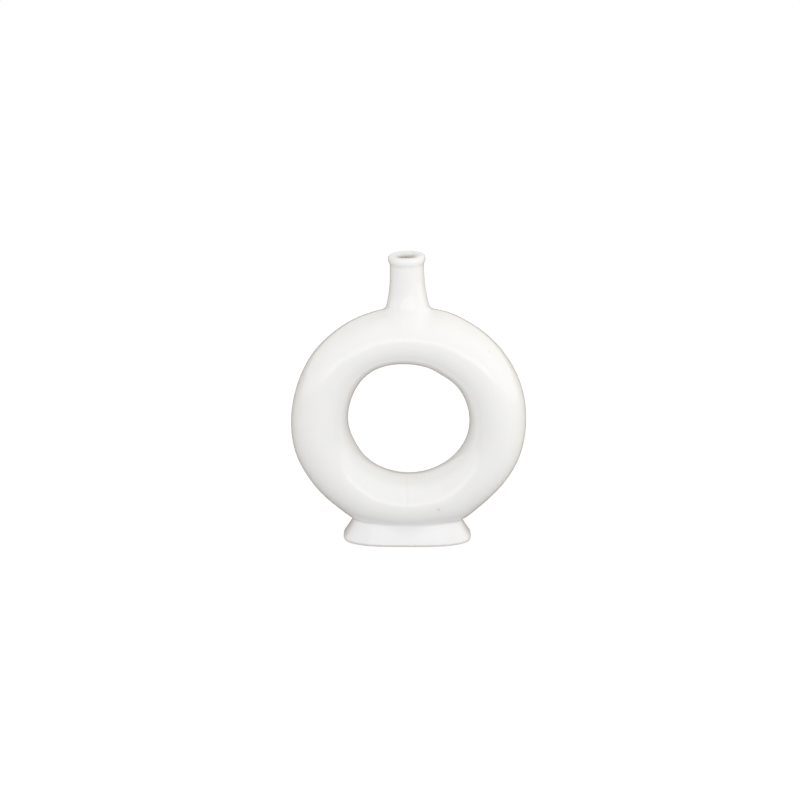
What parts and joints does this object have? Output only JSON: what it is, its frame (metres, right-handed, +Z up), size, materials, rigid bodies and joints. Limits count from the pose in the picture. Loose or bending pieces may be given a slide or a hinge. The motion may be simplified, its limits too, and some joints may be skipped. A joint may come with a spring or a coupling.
{
  "type": "donut vase",
  "caption": "Upright hollow ring of white glazed earthenware on an oblong flared foot, with a short bottle neck and rolled lip for a few stems.",
  "frame": {"origin": "middle of the foot, on the plane that the vase rests on", "axes": "+Z up out of the mouth, +Y to the back through the hole of the ring, +X to the right"},
  "size_m": [0.2, 0.0488, 0.2525],
  "materials": {
    "white_glaze": "gloss"
  },
  "bodies": {
    "root": {"ring_front_half": "white_glaze", "ring_rear_half": "white_glaze", "neck": "white_glaze", "lip_ring": "white_glaze", "foot_ring": "white_glaze"}
  },
  "joints": []
}
